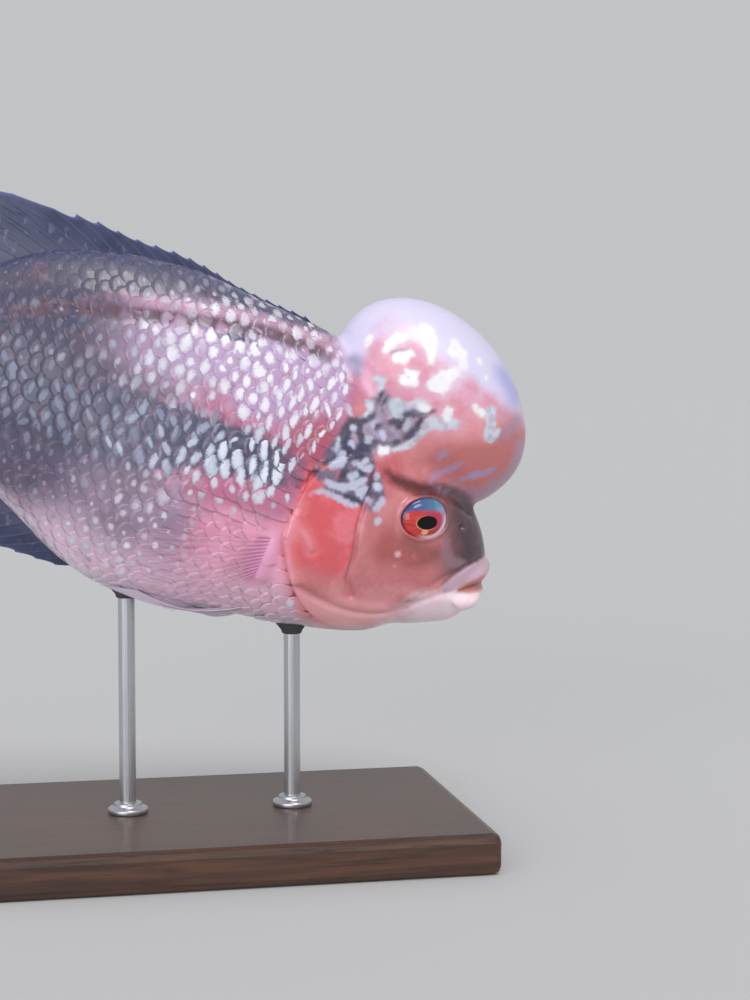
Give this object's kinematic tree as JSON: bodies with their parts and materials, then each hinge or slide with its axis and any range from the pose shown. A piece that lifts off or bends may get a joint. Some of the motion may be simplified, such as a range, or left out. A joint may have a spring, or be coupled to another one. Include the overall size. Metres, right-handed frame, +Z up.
{
  "type": "flowerhorn cichlid display model",
  "caption": "Life-size still model of a deep-bodied aquarium fish with a large domed forehead hump, held nose down on a flat base by thin rods.",
  "frame": {"origin": "centre of the display base's underside, on the surface that the stand rests on", "axes": "+X the way the fish faces, along the base's long side; +Y the fish's left; +Z up"},
  "size_m": [0.2589, 0.1, 0.204],
  "materials": {
    "head_flesh": "moist coral-red skin, satin to glossy",
    "hump": "smooth pink skin with pale patches, glossy",
    "lip": "pale pink, satin",
    "scaled_skin": "overlapping scales with pale pearls, glossy",
    "fin_dark": "thin ribbed blue-violet membrane, satin",
    "fin_clear": "thin ribbed pinkish membrane, satin",
    "eye": "red iris under a clear gloss",
    "stand_wood": "dark stained wood, satin",
    "stand_steel": "brushed"
  },
  "bodies": {
    "root": {"head": "head_flesh", "lower_jaw": "lip", "upper_lip": "lip", "nuchal_hump": "hump", "gill_cover_left": "head_flesh", "gill_cover_right": "head_flesh", "eye_left": "eye", "eye_right": "eye", "trunk": "scaled_skin", "tail_stem": "scaled_skin", "dorsal_fin": "fin_dark", "anal_fin": "fin_dark", "caudal_fin": "fin_dark", "pectoral_fin_left": "fin_clear", "pectoral_fin_right": "fin_clear", "pelvic_fin_left": "fin_clear", "pelvic_fin_right": "fin_clear", "stand_base": "stand_wood", "stand_rod_front": "stand_steel", "stand_rod_rear": "stand_steel"}
  },
  "joints": []
}
